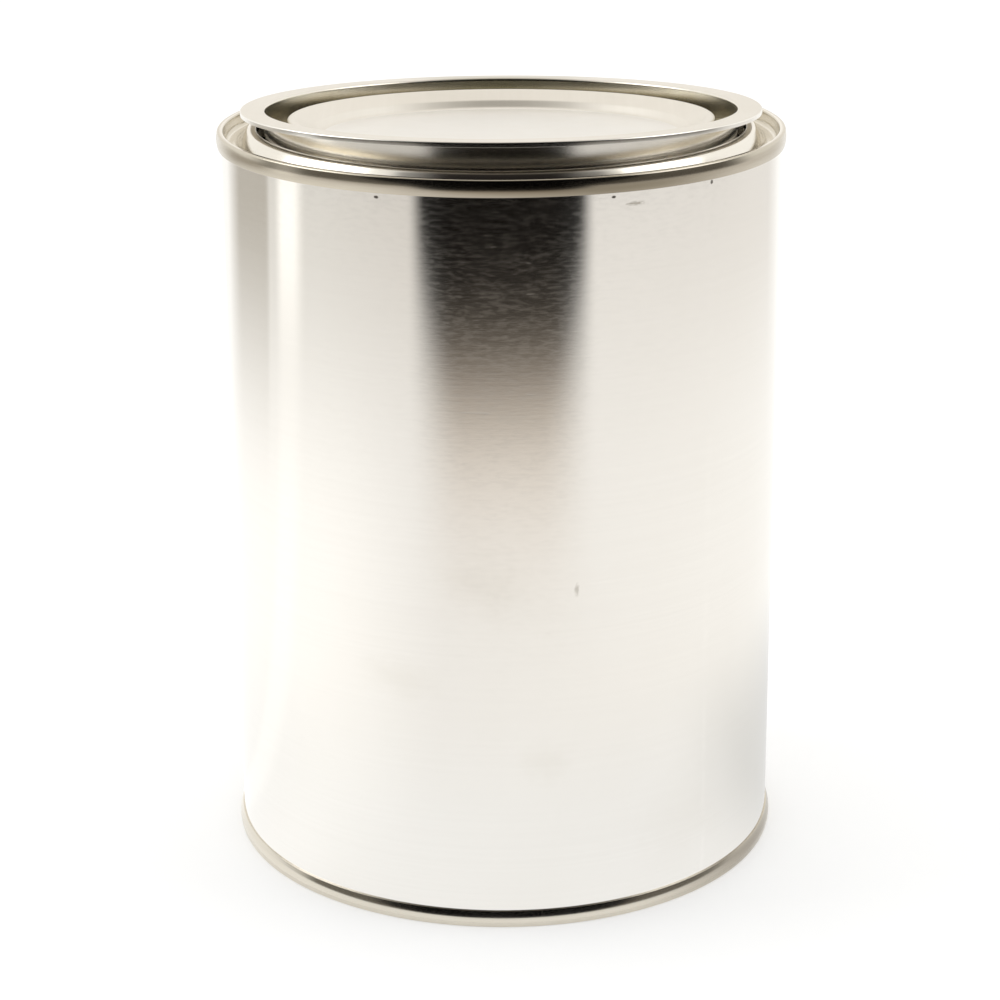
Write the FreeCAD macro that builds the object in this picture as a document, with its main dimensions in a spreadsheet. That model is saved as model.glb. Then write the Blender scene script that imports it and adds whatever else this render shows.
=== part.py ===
"""Plain tinplate lever-lid tin, shut, its lid sprung up a little at the front.

Four pieces, all turned about the tin's axis: the body with its lapped side weld, the bottom end and
the top ring, each double-seamed to the body, and the lever lid, whose plug sits in the ring's throat.
Millimetres, +Z up, the front is -Y, and the origin is the middle of the circle that the tin stands on.
"""

import FreeCAD
import Part
import os
import re
import Sketcher

# Driving sizes. Radial widths run inwards from the body's wall, so every piece follows the body.
SIZES = {
    # overall
    "tin_height": 141.0,  # standing circle to the crest of the top seam
    "body_radius": 53.16,  # outside of the body wall
    "plate": 0.28,  # tinplate thickness, the same for every piece
    # double seams, top and bottom
    "seam_height": 3.1,
    "seam_overhang": 0.6,  # edges of the seam beyond the body wall
    "seam_bulge": 0.34,  # corner of the seam's barrel face beyond its edges
    "crest_round": 0.4,
    # side weld, at the back
    "weld_width": 1.2,
    "weld_proud": 0.12,
    # bottom end
    "end_recess": 3.3,  # standing circle to the underside of the panel
    "end_corner_round": 0.9,
    "end_bead_inset": 7.0,  # wall of the recess to the foot of the expansion bead
    "end_bead_width": 4.6,
    "end_bead_slope": 0.9,
    "end_bead_rise": 0.7,
    # top ring
    "channel_depth": 2.8,
    "channel_width": 2.7,  # wall of the seam to the foot of the curl's slope
    "channel_round": 1.2,
    "curl_slope": 2.0,  # width of the slope from the channel up to the curl round the mouth
    "curl_width": 1.6,
    "curl_rise": 0.35,  # top of the curl above the seam's crest
    "curl_round": 1.25,
    "mouth_round": 0.6,
    "throat_inset": 0.9,  # inside of the curl to the throat
    "throat_lead": 1.9,  # height over which the curl narrows to the throat
    "neck_depth": 6.5,  # seam's crest to the lower edge of the neck
    # lid
    "throat_clearance": 0.4,  # throat to the plug, on the radius
    "plug_depth": 7.2,  # underside of the flange to the foot of the plug
    "plug_draft": 0.4,  # loss of radius over the plug's depth
    "head_clearance": 0.5,  # lowest point of the plug to the floor of the mouth
    "flange_overhang": 4.35,
    "flange_thickness": 0.95,  # the folded edge
    "flange_round": 0.35,
    "lip_round": 0.6,
    "groove_width": 4.1,
    "panel_drop": 1.7,  # flange's top to the panel
    "panel_round": 0.9,
    "panel_rim": 1.4,  # level part of the panel's edge
    "land_width": 3.8,  # the panel's slope from the rim to the step
    "land_fall": 1.9,
    "step_width": 0.5,
    "step_drop": 1.5,
    "lid_tilt": 2.6,  # degrees, front edge up
}

# Radii and heights that follow from the sizes, shared by the pieces that meet there.
PLACES = {
    "wall_inside": "body_radius - plate",
    "chuck_radius": "wall_inside - plate",
    "seam_edge": "body_radius + seam_overhang",
    "seam_crown": "body_radius + seam_overhang + seam_bulge",
    "barrel_round": "0.17 * seam_height * seam_height / seam_bulge",
    "seam_roof": "2 * plate",
    "seam_top_low": "tin_height - seam_height",
    "wall_top": "tin_height - seam_roof",
    "end_panel_top": "end_recess + plate",
    "end_bead_out": "chuck_radius - end_bead_inset",
    "end_bead_out_crown": "end_bead_out - end_bead_slope",
    "end_bead_in": "end_bead_out - end_bead_width",
    "end_bead_in_crown": "end_bead_in + end_bead_slope",
    "channel_floor": "tin_height - channel_depth",
    "shoulder": "channel_floor - plate",
    "curl_foot": "chuck_radius - channel_width",
    "curl_out": "curl_foot - curl_slope",
    "curl_in": "curl_out - curl_width",
    "curl_top": "tin_height + curl_rise",
    "curl_height": "curl_rise + channel_depth",
    "curl_edge_round": "min(curl_round; 0.8 * curl_width)",
    "mouth_edge_round": "min(mouth_round; 0.4 * curl_width)",
    "throat_top": "channel_floor + throat_lead - curl_rise",
    "throat_radius": "curl_in - throat_inset",
    "neck_outside": "throat_radius + plate",
    "neck_foot": "tin_height - neck_depth",
    "plug_radius": "throat_radius - throat_clearance",
    "plug_foot_radius": "plug_radius - plug_draft",
    "groove_out": "plug_radius - plate",
    "groove_out_foot": "plug_foot_radius - plate",
    "groove_in": "groove_out - groove_width",
    "groove_floor": "plate - plug_depth",
    "flange_radius": "plug_radius + flange_overhang",
    "panel_level": "flange_thickness - panel_drop",
    "land_out": "groove_in - panel_rim",
    "step_out": "groove_in - panel_rim - land_width",
    "step_top": "panel_level - land_fall",
    "disc_level": "panel_level - land_fall - step_drop",
    # The lid's underside touches the curl at the back and rises forwards from there. The heart is
    # the centre of the curl's outer round: half the slope's angle sets how far inside its corner.
    "curl_half_turn": "(sqrt(curl_height * curl_height + curl_slope * curl_slope) - curl_slope)"
                      " / curl_height",
    "curl_heart": "curl_top - curl_edge_round",
    "curl_heart_radius": "curl_out - curl_edge_round * curl_half_turn",
    "lid_seat": "curl_heart + curl_edge_round / cos(lid_tilt * 1deg)"
                " + curl_heart_radius * tan(lid_tilt * 1deg)",
    "plug_lowest": "lid_seat - plug_depth * cos(lid_tilt * 1deg)"
                   " - plug_foot_radius * sin(lid_tilt * 1deg)",
    "mouth_floor": "min(neck_foot; plug_lowest - head_clearance)",
}

PARTS_FOLDER = "parts"


def expand(text):
    """Write an expression on named sizes and places as one on the sheet's cells."""

    def one(match):
        word = match.group(0)
        if word in PLACES:
            return "(" + expand(PLACES[word]) + ")"
        return "Sizes." + word if word in SIZES else word

    return re.sub(r"(?<![\w.])[a-z][a-z_]*", one, text)


def make_sheet(doc):
    sheet = doc.addObject("Spreadsheet::Sheet", "Sizes")
    for row, (name, value) in enumerate(SIZES.items(), start=1):
        sheet.set(f"A{row}", name)
        sheet.set(f"B{row}", str(value))
        sheet.setAlias(f"B{row}", name)
    doc.recompute()
    return sheet


def value_of(body, text):
    """The number that an expression gives, without its unit."""
    result = body.evalExpression(expand(text))
    return float(getattr(result, "Value", result))


def origin_plane(body, role):
    return next(f for f in body.Origin.OriginFeatures if f.Role == role)


def new_sketch(body, name, role):
    sketch = body.newObject("Sketcher::SketchObject", name)
    sketch.AttachmentSupport = (origin_plane(body, role), [""])
    sketch.MapMode = "FlatFace"
    return sketch


def bind(sketch, constraint, name, text):
    """Add a dimension to the sketch and tie it to the sheet."""
    index = sketch.addConstraint(constraint)
    sketch.renameConstraint(index, name)
    sketch.setExpression(f"Constraints.{name}", expand(text))


def half_section(body, name, corners):
    """Sketch a closed outline from (radius, height[, round]) corners, each an expression.

    A corner with a round gets a tangent arc. Its own place stays as the sketch's corner point, so
    the dimensions go on holding it.
    """
    sketch = new_sketch(body, name, "XZ_Plane")
    spots = [FreeCAD.Vector(value_of(body, c[0]), value_of(body, c[1]), 0) for c in corners]
    count = len(spots)
    for i in range(count):
        sketch.addGeometry(Part.LineSegment(spots[i], spots[(i + 1) % count]), False)
    for i in range(count):
        sketch.addConstraint(Sketcher.Constraint("Coincident", i, 2, (i + 1) % count, 1))
    for i, corner in enumerate(corners):
        if corner[0] == "0":
            sketch.addConstraint(Sketcher.Constraint("PointOnObject", i, 1, -2))
        else:
            reach = Sketcher.Constraint("DistanceX", -1, 1, i, 1, spots[i].x)
            bind(sketch, reach, f"radius_{i}", corner[0])
        if corner[1] == "0":
            sketch.addConstraint(Sketcher.Constraint("PointOnObject", i, 1, -1))
        else:
            rise = Sketcher.Constraint("DistanceY", -1, 1, i, 1, spots[i].y)
            bind(sketch, rise, f"height_{i}", corner[1])
    for i, corner in enumerate(corners):
        if len(corner) > 2:
            radius = value_of(body, corner[2])
            sketch.fillet(i, 1, radius, True, True)
            arc = next(g for g in range(sketch.GeometryCount - 1, -1, -1)
                       if isinstance(sketch.Geometry[g], Part.ArcOfCircle))
            bind(sketch, Sketcher.Constraint("Radius", arc, radius), f"round_{i}", corner[2])
    return sketch


def turned_piece(doc, label, corners):
    """A body made by turning one closed half section about the vertical axis."""
    body = doc.addObject("PartDesign::Body", label)
    body.Label = label
    doc.recompute()
    sketch = half_section(body, f"{label}_section", corners)
    turn = body.newObject("PartDesign::Revolution", f"{label}_turned")
    turn.Profile = sketch
    turn.ReferenceAxis = (sketch, ["V_Axis"])
    turn.Angle = 360
    sketch.Visibility = False
    doc.recompute()
    return body


def make_body(doc):
    """The wall, its ends let into the two seams, and the solid inside of the shut tin."""
    bead_crown = "end_panel_top + end_bead_rise"
    body = turned_piece(doc, "body", [
        ("0", "end_panel_top"),
        ("end_bead_in", "end_panel_top"),
        ("end_bead_in_crown", bead_crown),
        ("end_bead_out_crown", bead_crown),
        ("end_bead_out", "end_panel_top"),
        ("wall_inside", "end_panel_top"),
        ("wall_inside", "seam_roof"),
        ("body_radius", "seam_roof"),
        ("body_radius", "wall_top"),
        ("wall_inside", "wall_top"),
        ("wall_inside", "shoulder"),
        ("neck_outside", "shoulder"),
        ("neck_outside", "mouth_floor"),
        ("0", "mouth_floor"),
    ])
    add_side_weld(doc, body)
    return body


def add_side_weld(doc, body):
    """The lapped side weld: a flat strip up the back, from seam to seam."""
    sketch = new_sketch(body, "weld_section", "XY_Plane")
    half = value_of(body, "weld_width") / 2
    inner = value_of(body, "wall_inside")
    outer = value_of(body, "body_radius + weld_proud")
    spots = [(-half, inner), (half, inner), (half, outer), (-half, outer)]
    for i in range(4):
        start, end = spots[i], spots[(i + 1) % 4]
        line = Part.LineSegment(FreeCAD.Vector(*start, 0), FreeCAD.Vector(*end, 0))
        sketch.addGeometry(line, False)
    for i in range(4):
        sketch.addConstraint(Sketcher.Constraint("Coincident", i, 2, (i + 1) % 4, 1))
    sketch.addConstraint(Sketcher.Constraint("Symmetric", 0, 1, 0, 2, -2))
    sketch.addConstraint(Sketcher.Constraint("Horizontal", 2))
    for i in (1, 3):
        sketch.addConstraint(Sketcher.Constraint("Vertical", i))
    bind(sketch, Sketcher.Constraint("DistanceX", 0, 1, 0, 2, 2 * half), "width", "weld_width")
    bind(sketch, Sketcher.Constraint("DistanceY", -1, 1, 0, 1, inner), "inner", "wall_inside")
    bind(sketch, Sketcher.Constraint("DistanceY", -1, 1, 2, 1, outer), "outer",
         "body_radius + weld_proud")
    sketch.setExpression(".AttachmentOffset.Base.z", expand("seam_height"))
    strip = body.newObject("PartDesign::Pad", "side_weld")
    strip.Profile = sketch
    strip.setExpression("Length", expand("tin_height - 2 * seam_height"))
    sketch.Visibility = False
    doc.recompute()


def make_bottom_end(doc):
    """The countersunk end with its expansion bead; the body's wall stands in its seam."""
    turned_piece(doc, "bottom_end", [
        ("0", "end_recess"),
        ("end_bead_in", "end_recess"),
        ("end_bead_in_crown", "end_recess + end_bead_rise"),
        ("end_bead_out_crown", "end_recess + end_bead_rise"),
        ("end_bead_out", "end_recess"),
        ("chuck_radius", "end_recess", "end_corner_round"),
        ("chuck_radius", "0", "crest_round"),
        ("seam_edge", "0", "crest_round"),
        ("seam_crown", "seam_height / 2", "barrel_round"),
        ("seam_edge", "seam_height"),
        ("body_radius", "seam_height"),
        ("body_radius", "seam_roof"),
        ("wall_inside", "seam_roof"),
        ("wall_inside", "end_panel_top"),
        ("end_bead_out", "end_panel_top"),
        ("end_bead_out_crown", "end_panel_top + end_bead_rise"),
        ("end_bead_in_crown", "end_panel_top + end_bead_rise"),
        ("end_bead_in", "end_panel_top"),
        ("0", "end_panel_top"),
    ])


def make_top_ring(doc):
    """Seam, channel, curl round the mouth and the neck that takes the lid's plug."""
    turned_piece(doc, "top_ring", [
        ("body_radius", "seam_top_low"),
        ("seam_edge", "seam_top_low"),
        ("seam_crown", "tin_height - seam_height / 2", "barrel_round"),
        ("seam_edge", "tin_height", "crest_round"),
        ("chuck_radius", "tin_height", "crest_round"),
        ("chuck_radius", "channel_floor", "channel_round"),
        ("curl_foot", "channel_floor", "channel_round"),
        ("curl_out", "curl_top", "curl_edge_round"),
        ("curl_in", "curl_top", "mouth_edge_round"),
        ("curl_in", "throat_top"),
        ("throat_radius", "channel_floor"),
        ("throat_radius", "neck_foot"),
        ("neck_outside", "neck_foot"),
        ("neck_outside", "shoulder"),
        ("wall_inside", "shoulder"),
        ("wall_inside", "wall_top"),
        ("body_radius", "wall_top"),
    ])


def make_lid(doc):
    """The lever lid about its own seat plane, then set down on the curl with its front up."""
    lid = turned_piece(doc, "lid", [
        ("0", "disc_level"),
        ("step_out - step_width", "disc_level"),
        ("step_out", "step_top"),
        ("land_out", "panel_level"),
        ("groove_in", "panel_level", "panel_round"),
        ("groove_in", "groove_floor"),
        ("groove_out_foot", "groove_floor"),
        ("groove_out", "flange_thickness", "lip_round"),
        ("flange_radius", "flange_thickness", "flange_round"),
        ("flange_radius", "0"),
        ("plug_radius", "0"),
        ("plug_foot_radius", "-plug_depth"),
        ("0", "-plug_depth"),
    ])
    front_up = FreeCAD.Rotation(FreeCAD.Vector(-1, 0, 0), value_of(lid, "lid_tilt"))
    lid.Placement = FreeCAD.Placement(FreeCAD.Vector(0, 0, value_of(lid, "lid_seat")), front_up)
    lid.setExpression(".Placement.Base.z", expand("lid_seat"))
    lid.setExpression(".Placement.Rotation.Angle", expand("lid_tilt"))
    doc.recompute()


def check_document(doc, labels):
    """Stop before anything is written if a feature failed or a piece isn't one good solid."""
    for item in doc.Objects:
        if {"Invalid", "Error"} & set(item.State):
            raise RuntimeError(f"{item.Label} failed: {item.State}")
        if item.TypeId == "Sketcher::SketchObject" and item.solve() != 0:
            raise RuntimeError(f"{item.Label} doesn't solve")
    for label in labels:
        shape = doc.getObjectsByLabel(label)[0].Shape
        if shape.isNull() or not shape.isValid() or len(shape.Solids) != 1:
            raise RuntimeError(f"{label} isn't one valid solid")


def main():
    doc = FreeCAD.newDocument("LeverLidTin")
    make_sheet(doc)
    makers = {
        "body": make_body,
        "bottom_end": make_bottom_end,
        "top_ring": make_top_ring,
        "lid": make_lid,
    }
    for make in makers.values():
        make(doc)
    doc.recompute()
    check_document(doc, makers)
    os.makedirs(PARTS_FOLDER, exist_ok=True)
    for label in makers:
        piece = doc.getObjectsByLabel(label)[0]
        piece.Shape.exportStep(os.path.join(PARTS_FOLDER, f"{label}.step"))
        print(f"{label}: {piece.Shape.Volume:.1f} mm3")


main()
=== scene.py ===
"""Looks of a plain tinplate lever-lid tin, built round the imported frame. Metres, +Z up, front is -Y."""

import math

import bpy
from mathutils import Matrix, Vector


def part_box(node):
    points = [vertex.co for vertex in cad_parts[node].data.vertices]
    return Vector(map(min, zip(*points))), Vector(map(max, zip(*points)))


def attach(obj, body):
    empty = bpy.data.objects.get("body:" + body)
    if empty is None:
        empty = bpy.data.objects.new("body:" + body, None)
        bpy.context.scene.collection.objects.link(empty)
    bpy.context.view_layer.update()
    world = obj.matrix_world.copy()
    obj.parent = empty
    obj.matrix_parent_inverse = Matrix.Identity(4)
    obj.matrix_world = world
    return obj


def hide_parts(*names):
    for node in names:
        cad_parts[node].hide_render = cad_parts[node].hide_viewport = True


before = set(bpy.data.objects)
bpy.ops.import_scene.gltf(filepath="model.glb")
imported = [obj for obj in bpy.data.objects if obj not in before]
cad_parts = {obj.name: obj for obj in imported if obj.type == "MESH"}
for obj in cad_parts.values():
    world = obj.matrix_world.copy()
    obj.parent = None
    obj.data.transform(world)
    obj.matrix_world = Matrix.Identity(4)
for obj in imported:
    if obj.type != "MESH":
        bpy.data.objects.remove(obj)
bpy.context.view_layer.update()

MM = 0.001

# ---------------------------------------------------------------- sizes, in millimetres

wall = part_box("body")[1].x / MM  # outside of the body wall
PLATE = 0.28  # thickness of the tinplate
CREST = 141.0  # crest of the top seam

# double seams
SEAM_HEIGHT = 3.1
SEAM_EDGE = wall + 0.6
SEAM_BULGE = 0.34
SEAM_CROWN = SEAM_EDGE + SEAM_BULGE
BARREL_ROUND = 0.17 * SEAM_HEIGHT**2 / SEAM_BULGE  # takes up most of the barrel's height
CREST_ROUND = 0.4

# top ring
CHUCK = wall - 2 * PLATE  # wall of the seam's inside
CHANNEL = CREST - 2.8
CURL_FOOT = CHUCK - 2.7
CURL_OUT = CURL_FOOT - 2.0
CURL_IN = CURL_OUT - 1.6
CURL_TOP = CREST + 0.35
CURL_ROUND = 1.25
THROAT = CURL_IN - 0.9
THROAT_TOP = CREST - 1.25  # where the curl's inside turns in to the throat
NECK_FOOT = CREST - 6.5

# bottom end
END_RECESS = 3.3
BEAD_OUT = CHUCK - 7.0
BEAD_IN = BEAD_OUT - 4.6
BEAD_RISE = 0.7
BEAD_SLOPE = 0.9

# lid, heights from the underside of its flange
PLUG = THROAT - 0.4
PLUG_DEPTH = 7.2
PLUG_FOOT = PLUG - 0.4
FLANGE = PLUG + 4.35
FLANGE_THICK = 0.95
GROOVE_IN = PLUG - PLATE - 4.1
PANEL = FLANGE_THICK - 1.7
LAND_OUT = GROOVE_IN - 1.4
STEP_OUT = LAND_OUT - 3.8
STEP_TOP = PANEL - 1.9
DISC = STEP_TOP - 1.5
STEP_EASE = 1.1  # how far the step's foot spreads inwards
LID_TILT = math.radians(2.6)
PLUG_CLEARANCE = 0.5  # between the plug and what is under it

# The lid's underside touches the curl at the back and rises forwards from there.
slope_rise = CURL_TOP - CHANNEL
slope_run = CURL_FOOT - CURL_OUT
curl_middle = CURL_OUT - CURL_ROUND * (math.hypot(slope_rise, slope_run) - slope_run) / slope_rise
LID_SEAT = CURL_TOP - CURL_ROUND + CURL_ROUND / math.cos(LID_TILT) + curl_middle * math.tan(LID_TILT)
plug_low = LID_SEAT - PLUG_DEPTH * math.cos(LID_TILT) - PLUG_FOOT * math.sin(LID_TILT)
MOUTH_FLOOR = plug_low - PLUG_CLEARANCE

# ---------------------------------------------------------------- node helpers


def maths(tree, kind, a, b=None, c=None, clamp=False):
    """One Math node; a, b and c are numbers or outputs of other nodes."""
    node = tree.nodes.new("ShaderNodeMath")
    node.operation = kind
    node.use_clamp = clamp
    for slot, value in enumerate((a, b, c)):
        if isinstance(value, (int, float)):
            node.inputs[slot].default_value = value
        elif value is not None:
            tree.links.new(value, node.inputs[slot])
    return node.outputs[0]


def vector_maths(tree, kind, a, b, result="Vector"):
    """One Vector Math node; a and b are tuples or outputs of other nodes."""
    node = tree.nodes.new("ShaderNodeVectorMath")
    node.operation = kind
    for slot, value in enumerate((a, b)):
        if isinstance(value, tuple):
            node.inputs[slot].default_value = value
        elif value is not None:
            tree.links.new(value, node.inputs[slot])
    return node.outputs[result]


def ease(tree, value, low, high, at_low=0.0, at_high=1.0):
    """Go smoothly from one value to another between two limits."""
    node = tree.nodes.new("ShaderNodeMapRange")
    node.interpolation_type = "SMOOTHSTEP"
    for label, given in (("Value", value), ("From Min", low), ("From Max", high),
                         ("To Min", at_low), ("To Max", at_high)):
        if isinstance(given, (int, float)):
            node.inputs[label].default_value = given
        else:
            tree.links.new(given, node.inputs[label])
    return node.outputs["Result"]


def blend_colours(tree, factor, a, b, kind="MIX"):
    """One colour Mix node; the colours are tuples or outputs of other nodes."""
    node = tree.nodes.new("ShaderNodeMix")
    node.data_type = "RGBA"
    node.blend_type = kind
    for slot, given in ((0, factor), (6, a), (7, b)):
        if isinstance(given, (int, float)):
            node.inputs[slot].default_value = given
        elif isinstance(given, tuple):
            node.inputs[slot].default_value = (*given, 1)
        else:
            tree.links.new(given, node.inputs[slot])
    return node.outputs[2]


def noise(tree, vector, scale, detail=2.0, roughness=0.5):
    node = tree.nodes.new("ShaderNodeTexNoise")
    node.inputs["Scale"].default_value = scale
    node.inputs["Detail"].default_value = detail
    node.inputs["Roughness"].default_value = roughness
    tree.links.new(vector, node.inputs["Vector"])
    return node.outputs["Fac"]


def ramp(tree, value, stops, interpolation="LINEAR"):
    """Colours along a value, from (place, colour) stops in rising order."""
    node = tree.nodes.new("ShaderNodeValToRGB")
    band = node.color_ramp
    band.interpolation = interpolation
    band.elements[0].position, band.elements[1].position = stops[0][0], stops[-1][0]
    for place, _ in stops[1:-1]:
        band.elements.new(place)
    for element, (_, shade) in zip(band.elements, stops):
        element.color = (*shade, 1)
    tree.links.new(value, node.inputs[0])
    return node.outputs["Color"]


def new_group(name, inputs, outputs):
    """An empty shader group, with its two ends."""
    tree = bpy.data.node_groups.new(name, "ShaderNodeTree")
    for label, kind, value in inputs:
        socket = tree.interface.new_socket(label, in_out="INPUT", socket_type=kind)
        if value is not None:
            socket.default_value = value
    for label, kind in outputs:
        tree.interface.new_socket(label, in_out="OUTPUT", socket_type=kind)
    return tree, tree.nodes.new("NodeGroupInput").outputs, tree.nodes.new("NodeGroupOutput").inputs


def place_group(tree, group, **values):
    """Put a group in a material; keywords are its inputs, with _ for a space."""
    node = tree.nodes.new("ShaderNodeGroup")
    node.node_tree = group
    for label, value in values.items():
        socket = node.inputs[label.replace("_", " ")]
        if isinstance(value, (int, float, tuple)):
            socket.default_value = value
        else:
            tree.links.new(value, socket)
    return node.outputs


FLOAT, VECTOR = "NodeSocketFloat", "NodeSocketVector"

# ---------------------------------------------------------------- turned sheet metal


def outline(corners, hug=0.22, arc_step=math.radians(7)):
    """Points of a half section from (radius, height, round) corners, in millimetres.

    A round becomes an arc. Each straight run gets a point close to both ends, at the distance hug,
    so that smooth shading stays flat along it.
    """
    runs = []
    count = len(corners)
    for i, (x, y, r) in enumerate(corners):
        if r <= 0 or i in (0, count - 1):
            runs.append([(x, y)])
            continue
        ax, ay = corners[i - 1][0] - x, corners[i - 1][1] - y
        bx, by = corners[i + 1][0] - x, corners[i + 1][1] - y
        la, lb = math.hypot(ax, ay), math.hypot(bx, by)
        ax, ay, bx, by = ax / la, ay / la, bx / lb, by / lb
        half = math.acos(max(-1, min(1, ax * bx + ay * by))) / 2
        reach = r / math.tan(half)
        mx, my = ax + bx, ay + by
        lm = math.hypot(mx, my)
        cx, cy = x + mx / lm * r / math.sin(half), y + my / lm * r / math.sin(half)
        a0 = math.atan2(y + ay * reach - cy, x + ax * reach - cx)
        a1 = math.atan2(y + by * reach - cy, x + bx * reach - cx)
        sweep = (a1 - a0 + math.pi) % (2 * math.pi) - math.pi
        steps = max(2, math.ceil(abs(sweep) / arc_step))
        angles = [a0 + sweep * k / steps for k in range(steps + 1)]
        runs.append([(cx + r * math.cos(a), cy + r * math.sin(a)) for a in angles])
    points = list(runs[0])
    for run in runs[1:]:
        (x0, y0), (x1, y1) = points[-1], run[0]
        length = math.hypot(x1 - x0, y1 - y0)
        if length > 3 * hug:
            for t in (hug / length, 1 - hug / length):
                points.append((x0 + (x1 - x0) * t, y0 + (y1 - y0) * t))
        points.extend(run)
    return points


JOIN_REACH = 0.5e-6  # metres
STEPS_ROUND = 256


def turning_sockets(face):
    """The inputs and the output of the turning group."""
    face.new_socket("Half Section", in_out="INPUT", socket_type="NodeSocketGeometry")
    steps = face.new_socket("Steps Round", in_out="INPUT", socket_type="NodeSocketInt")
    steps.default_value = STEPS_ROUND
    face.new_socket("Tilt", in_out="INPUT", socket_type="NodeSocketFloat")
    face.new_socket("Lift", in_out="INPUT", socket_type="NodeSocketFloat")
    face.new_socket("Inside Out", in_out="INPUT", socket_type="NodeSocketBool")
    face.new_socket("Finish", in_out="INPUT", socket_type="NodeSocketMaterial")
    face.new_socket("Piece", in_out="OUTPUT", socket_type="NodeSocketGeometry")


def wrapped_grid(tree, given):
    """A grid with the half section's points along X, wrapped once about the vertical axis along Y."""
    n, link = tree.nodes, tree.links.new
    size = n.new("GeometryNodeAttributeDomainSize")
    link(given["Half Section"], size.inputs[0])
    count = size.outputs["Point Count"]
    last = maths(tree, "SUBTRACT", count, 1)
    grid = n.new("GeometryNodeMeshGrid")
    grid.inputs["Size Y"].default_value = 1.0
    link(last, grid.inputs["Size X"])
    link(count, grid.inputs["Vertices X"])
    link(maths(tree, "ADD", given["Steps Round"], 1), grid.inputs["Vertices Y"])
    place = n.new("GeometryNodeInputPosition")
    parts = n.new("ShaderNodeSeparateXYZ")
    link(place.outputs[0], parts.inputs[0])
    along = maths(tree, "ROUND", maths(tree, "ADD", parts.outputs[0], maths(tree, "DIVIDE", last, 2)))
    angle = maths(tree, "MULTIPLY", maths(tree, "ADD", parts.outputs[1], 0.5), 2 * math.pi)
    spot = n.new("GeometryNodeSampleIndex")
    spot.data_type = "FLOAT_VECTOR"
    spot.domain = "POINT"
    link(given["Half Section"], spot.inputs["Geometry"])
    link(place.outputs[0], spot.inputs["Value"])
    link(along, spot.inputs["Index"])
    reach = n.new("ShaderNodeSeparateXYZ")
    link(spot.outputs[0], reach.inputs[0])
    turned = n.new("ShaderNodeCombineXYZ")
    link(maths(tree, "MULTIPLY", reach.outputs[0], maths(tree, "SINE", angle)), turned.inputs[0])
    link(maths(tree, "MULTIPLY", reach.outputs[0], maths(tree, "COSINE", angle)), turned.inputs[1])
    link(reach.outputs[2], turned.inputs[2])
    put = n.new("GeometryNodeSetPosition")
    link(grid.outputs[0], put.inputs["Geometry"])
    link(turned.outputs[0], put.inputs["Position"])
    return put.outputs[0]


def placed_sheet(tree, given, sheet):
    """The wrapped grid with its meeting points joined and its faces outwards, tilted and lifted."""
    n, link = tree.nodes, tree.links.new
    close = n.new("GeometryNodeMergeByDistance")
    close.inputs["Distance"].default_value = JOIN_REACH
    link(sheet, close.inputs["Geometry"])
    flip = n.new("GeometryNodeFlipFaces")
    link(close.outputs[0], flip.inputs["Mesh"])
    link(given["Inside Out"], flip.inputs["Selection"])
    move = n.new("GeometryNodeTransform")
    link(flip.outputs[0], move.inputs["Geometry"])
    lift = n.new("ShaderNodeCombineXYZ")
    link(given["Lift"], lift.inputs[2])
    link(lift.outputs[0], move.inputs["Translation"])
    lean = n.new("ShaderNodeCombineXYZ")
    link(maths(tree, "MULTIPLY", given["Tilt"], -1), lean.inputs[0])
    link(lean.outputs[0], move.inputs["Rotation"])
    return move.outputs[0]


def turning_tree():
    """Geometry Nodes that turn a half section about the vertical axis, then tilt and lift it."""
    tree = bpy.data.node_groups.new("Turned Sheet", "GeometryNodeTree")
    turning_sockets(tree.interface)
    n, link = tree.nodes, tree.links.new
    given = n.new("NodeGroupInput").outputs
    sheet = placed_sheet(tree, given, wrapped_grid(tree, given))
    smooth = n.new("GeometryNodeSetShadeSmooth")
    link(sheet, smooth.inputs[0])
    real = n.new("GeometryNodeRealizeInstances")
    link(smooth.outputs[0], real.inputs[0])
    coat = n.new("GeometryNodeSetMaterial")
    link(real.outputs[0], coat.inputs["Geometry"])
    link(given["Finish"], coat.inputs["Material"])
    out = n.new("NodeGroupOutput")
    link(coat.outputs[0], out.inputs[0])
    return tree


def socket_id(tree, name):
    """The identifier of a named input, by which a modifier's value is set."""
    return next(s.identifier for s in tree.interface.items_tree if s.name == name and s.in_out == "INPUT")


def add_object(name, data):
    """A new object at the origin that holds a mesh, a lamp or a camera."""
    thing = bpy.data.objects.new(name, data)
    bpy.context.scene.collection.objects.link(thing)
    return thing


def turn(tree, name, corners, finish, tilt=0.0, lift=0.0, inside_out=False):
    """Turn one piece of sheet metal and leave it as a plain mesh at the origin."""
    points = [(x * MM, 0, y * MM) for x, y in outline(corners)]
    section = bpy.data.meshes.new(name + "_section")
    section.from_pydata(points, [(i, i + 1) for i in range(len(points) - 1)], [])
    maker = add_object(name + "_maker", section)
    mod = maker.modifiers.new("turning", "NODES")
    mod.node_group = tree
    settings = {
        "Steps Round": STEPS_ROUND, "Tilt": tilt, "Lift": lift * MM, "Inside Out": inside_out,
        "Finish": finish}
    for label, value in settings.items():
        mod[socket_id(tree, label)] = value
    graph = bpy.context.evaluated_depsgraph_get()
    mesh = bpy.data.meshes.new_from_object(maker.evaluated_get(graph))
    bpy.data.objects.remove(maker)
    bpy.data.meshes.remove(section)
    mesh.name = name
    return add_object(name, mesh)


# ---------------------------------------------------------------- effects shared by the finishes


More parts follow.
